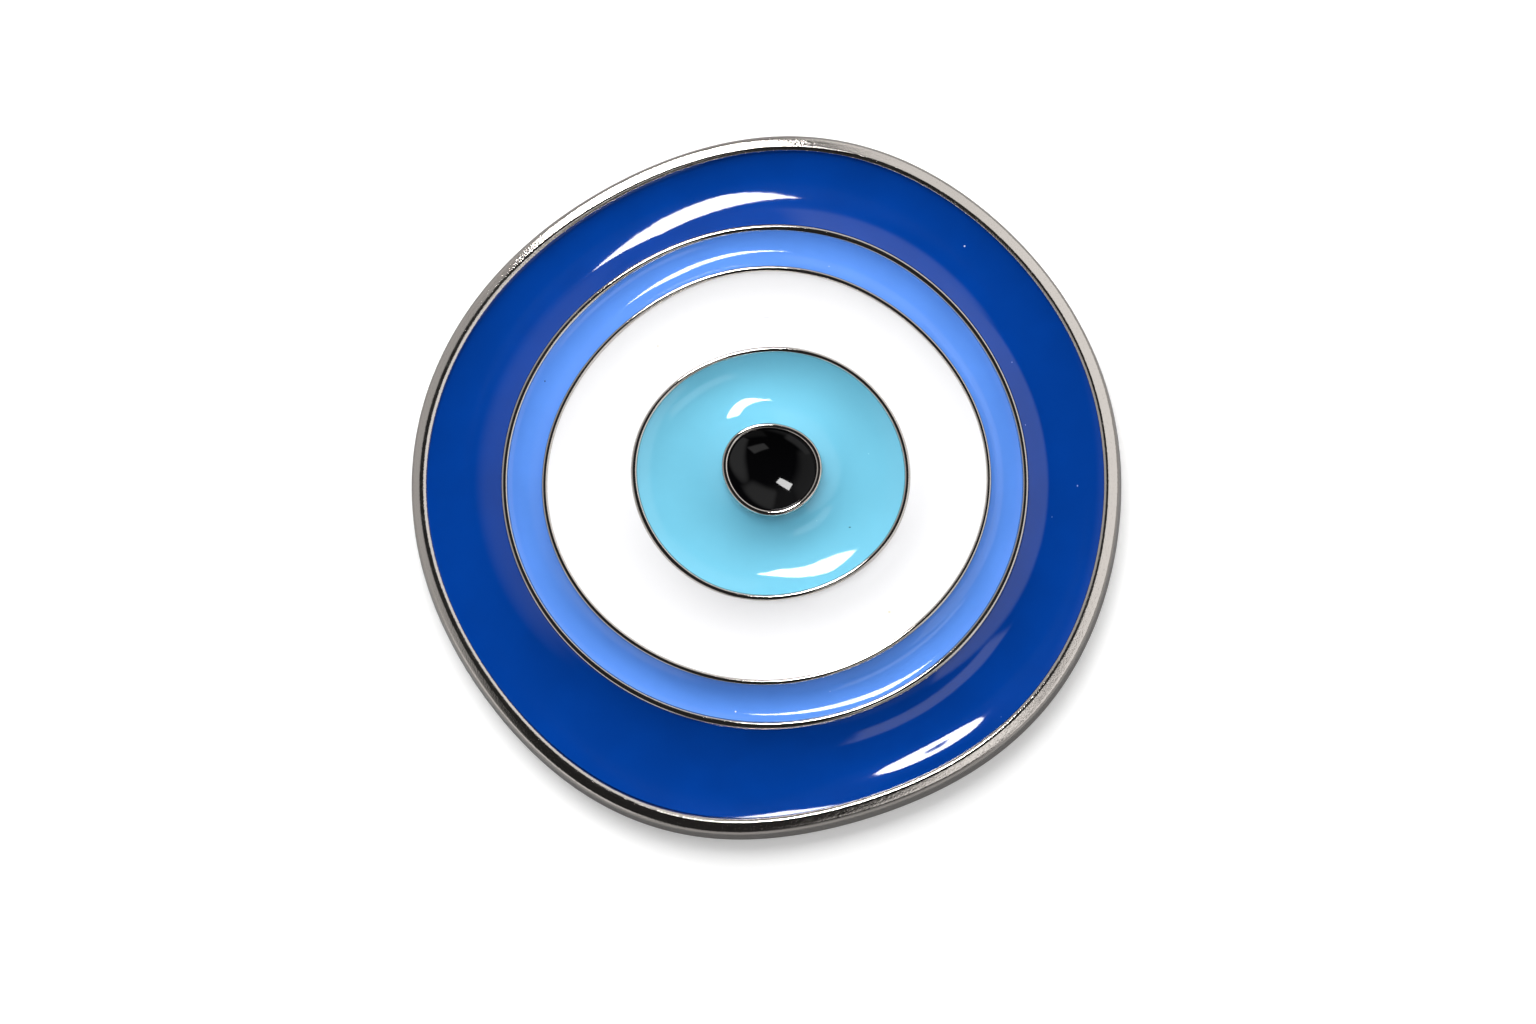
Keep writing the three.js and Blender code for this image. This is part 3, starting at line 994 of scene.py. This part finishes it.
# from the middle: grain and pits at this share as far as the first, and at full strength past the second
POLISHED_TO, ROUGH_FROM, POLISHED_GRAIN = 24 * MM, 27 * MM, 0.3
CLOUDS, GLOSS = 1.6 * MM, (0.07, 0.12)
PIT_CELL, PIT_SHARE, PIT_SIZE, PIT_ROUGHNESS = 0.13 * MM, 0.55, 0.55, 0.24


def make_nickel():
    """Metal with a bump of cast grain and matt pits; the walls inside are polished smoother than the rim."""
    material, tree, body = shader("nickel", Base_Color=NICKEL_COLOUR, Metallic=1.0)
    grain = use(tree, RIPPLE, Wavelength=GRAIN, Detail=2.0)
    spread = add(tree, "VectorMath", operation="LENGTH")
    tree.links.new(add(tree, "TexCoord").outputs["Object"], spread.inputs[0])
    outward = ramp(tree, spread.outputs["Value"], POLISHED_TO, ROUGH_FROM, POLISHED_GRAIN, 1.0)
    height = sums(tree, "MULTIPLY", grain, outward)
    cloudy = use(tree, RIPPLE, Wavelength=CLOUDS, Detail=3.0)
    gloss = ramp(tree, cloudy, *MOST_NOISE, *GLOSS)
    dots = use(tree, SPECKLE, Cell=PIT_CELL, Share=PIT_SHARE, Size=PIT_SIZE)
    matt = sums(tree, "MULTIPLY", sums(tree, "MULTIPLY", dots, outward), PIT_ROUGHNESS)
    feed(tree, body, Roughness=sums(tree, "MAXIMUM", gloss, matt))
    feed(tree, body, Normal=bump(tree, height, GRAIN_DEPTH))
    return material


casting.data.materials.append(make_nickel())
print("casting plated")

# %% [markdown]
# ## Enamels
#
# All five enamels share one recipe: a colour that drifts a little, a glossy skin with a faint ripple, a few
# specks of dust, and the marks listed for that colour. Real enamel is a coloured resin, and a material with
# light scattering inside would be closer to that, but these colours are dense, and a plain base colour
# under a glossy skin looks the same and renders far faster. The black fill mirrors a little less.

# %% Enamel recipe
ENAMEL_ROUGHNESS = 0.055
ENAMEL_IOR, BLACK_IOR = 1.5, 1.33
DRIFT_SIZE, SKIN_SIZE, SKIN_DEPTH = 5 * MM, 1.3 * MM, 0.004 * MM
SPECK_CELL, SPECK_SHARE, SPECK_SIZE = 1.1 * MM, 0.05, 0.06


def enamel(name, colour, drift, speck, marks=(), ior=ENAMEL_IOR):
    """Colour * (1 +- drift), with specks and marks laid over it, under a rippled glossy skin."""
    material, tree, body = shader(name, Roughness=ENAMEL_ROUGHNESS, IOR=ior)
    slow = use(tree, RIPPLE, Wavelength=DRIFT_SIZE, Detail=3.0)
    lighter = [min(1.0, channel * (1 + drift)) for channel in colour]
    darker = [channel * (1 - drift) for channel in colour]
    tint = blend(tree, ramp(tree, slow, *MOST_NOISE), (*darker, 1), (*lighter, 1))
    dots = use(tree, SPECKLE, Cell=SPECK_CELL, Share=SPECK_SHARE, Size=SPECK_SIZE)
    tint = blend(tree, dots, tint, (*speck, 1))
    for (x, y, z), (across, along), mark_colour in marks:
        place, reach = (x * MM, y * MM, z * MM), (across * MM, along * MM, MM)
        spot = use(tree, MARK, Place=place, Reach=reach)
        tint = blend(tree, spot, tint, (*mark_colour, 1))
    skin = use(tree, RIPPLE, Wavelength=SKIN_SIZE, Detail=1.0)
    feed(tree, body, Base_Color=tint, Normal=bump(tree, skin, SKIN_DEPTH))
    return material


print("enamel skins ripple by", round(SKIN_DEPTH / MM, 3), "mm")

# %% Marks in the enamel
# place (mm), half width and half length (mm) and colour
TAN = (0.62, 0.55, 0.4)
WHITE_MARKS = (
    ((-9, 11.5, 4.5), (0.13, 0.09), TAN),
    ((-4.6, 10.9, 4.3), (0.1, 0.08), TAN),
    ((10.5, -11.2, 4.2), (0.16, 0.1), (0.75, 0.7, 0.5)),
    ((0.2, 13.9, 4.2), (0.5, 0.05), (0.7, 0.7, 0.72)),
    ((-0.2, 13.5, 4.1), (0.06, 0.35), (0.74, 0.74, 0.76)),
)
SKY_MARKS = (
    ((-18.6, 8.6, 3.7), (0.07, 0.09), (0.02, 0.03, 0.08)),
    ((-2.4, -19.5, 3.8), (0.08, 0.08), (0.9, 0.92, 1.0)),
)
COBALT_MARKS = (
    ((17, 20.2, 2.6), (0.09, 0.09), (0.75, 0.8, 1.0)),
    ((26.4, -0.4, 2.8), (0.07, 0.1), (0.3, 0.4, 0.8)),
)
IRIS_MARKS = (((7.2, -4, 3.7), (0.12, 0.07), (0.04, 0.14, 0.2)),)
print("marks:", sum(map(len, (WHITE_MARKS, SKY_MARKS, COBALT_MARKS, IRIS_MARKS))))

# %% Five enamels
COBALT, COBALT_SPECK = (0.0002, 0.041, 0.28), (0.2, 0.3, 0.7)
SKY, SKY_SPECK = (0.097, 0.262, 0.76), (0.4, 0.55, 0.95)
WHITE, WHITE_SPECK = (0.9, 0.9, 0.915), (0.8, 0.78, 0.72)
TURQUOISE, TURQUOISE_SPECK = (0.168, 0.53, 0.71), (0.3, 0.7, 0.85)
BLACK, BLACK_SPECK = (0.0012, 0.0012, 0.0015), (0.01, 0.01, 0.01)
cobalt.data.materials.append(enamel("cobalt", COBALT, 0.05, COBALT_SPECK, COBALT_MARKS))
sky.data.materials.append(enamel("sky", SKY, 0.03, SKY_SPECK, SKY_MARKS))
white.data.materials.append(enamel("white", WHITE, 0.005, WHITE_SPECK, WHITE_MARKS))
iris.data.materials.append(enamel("turquoise", TURQUOISE, 0.02, TURQUOISE_SPECK, IRIS_MARKS))
pupil.data.materials.append(enamel("black", BLACK, 0.0, BLACK_SPECK, ior=BLACK_IOR))
print("five enamels poured")

# %% [markdown]
# ## The back's finishes
#
# Pressed ferrite is nearly black and slightly grainy, with paler dust in its pores. The glue is yellowed and
# half glossy. Both are the same recipe with other sizes: one noise sets where the dust lies and also the
# bump, so the dust is always in the low spots.

# %% Ferrite and glue
FERRITE, FERRITE_DUST = (0.022, 0.022, 0.024), (0.07, 0.066, 0.06)
EPOXY, EPOXY_DUST = (0.5, 0.42, 0.25), (0.58, 0.52, 0.36)
FERRITE_GRAIN, FERRITE_DEPTH, FERRITE_ROUGHNESS = 0.5 * MM, 0.03 * MM, 0.62
EPOXY_GRAIN, EPOXY_DEPTH, EPOXY_ROUGHNESS = 1.5 * MM, 0.05 * MM, 0.3
LOW_SPOTS = (0.35, 0.5)


def grainy(name, colour, dust, size, depth, roughness):
    """Colour with dust in the low spots of a noise of one size, which also sets the bump to a depth."""
    material, tree, body = shader(name, Roughness=roughness)
    grain = use(tree, RIPPLE, Wavelength=size, Detail=4.0)
    tint = blend(tree, ramp(tree, grain, *LOW_SPOTS, 1.0, 0.0), (*colour, 1), (*dust, 1))
    feed(tree, body, Base_Color=tint, Normal=bump(tree, grain, depth))
    return material


ferrite = grainy("ferrite", FERRITE, FERRITE_DUST, FERRITE_GRAIN, FERRITE_DEPTH, FERRITE_ROUGHNESS)
epoxy = grainy("epoxy", EPOXY, EPOXY_DUST, EPOXY_GRAIN, EPOXY_DEPTH, EPOXY_ROUGHNESS)
magnet.data.materials.append(ferrite)
glue.data.materials.append(epoxy)
print("back finished with", ferrite.name, "and", epoxy.name)

# %% [markdown]
# ## Lit table
#
# The table is lit from below as well as above, as in a light tent, so it stays white, and seen from low
# down it runs into the white room behind it. Rays mirrored off the piece find a greyer, dimmer card instead:
# painted shade, standing in for the shaded floor that the polished rim mirrors. A brighter lamp could whiten
# it too, but would wash out the shadow of the piece.

# %% Table
# the second card colour and glow are painted shade, used only where the table is seen in reflections
CARD, CARD_PAINTED_SHADE = (0.95, 0.95, 0.95, 1), (0.3, 0.3, 0.3, 1)
GLOW, GLOW_PAINTED_SHADE = (1, 1, 1, 1), (0.2, 0.2, 0.2, 1)
TABLE_GLOW = 0.15
FAR_TABLE = (0.15, 0.5)

table, tree, card = shader("lit table", Roughness=0.9, Specular_IOR_Level=0.0)
path = add(tree, "LightPath")
gets_painted_shade = path.outputs["Is Glossy Ray"]
away = add(tree, "VectorMath", operation="LENGTH")
tree.links.new(add(tree, "TexCoord").outputs["Object"], away.inputs[0])
far = ramp(tree, away.outputs["Value"], *FAR_TABLE)
seen_far = sums(tree, "MULTIPLY", far, path.outputs["Is Camera Ray"])
# reflected rays get the painted shade: a greyer card with a dimmer glow
feed(tree, card, Base_Color=blend(tree, gets_painted_shade, CARD, CARD_PAINTED_SHADE))
feed(tree, card, Emission_Color=blend(tree, gets_painted_shade, GLOW, GLOW_PAINTED_SHADE))
feed(tree, card, Emission_Strength=sums(tree, "ADD", TABLE_GLOW, seen_far))
floor.data.materials.append(table)
print("table finished; seen from low down it is white past", FAR_TABLE[1], "m")
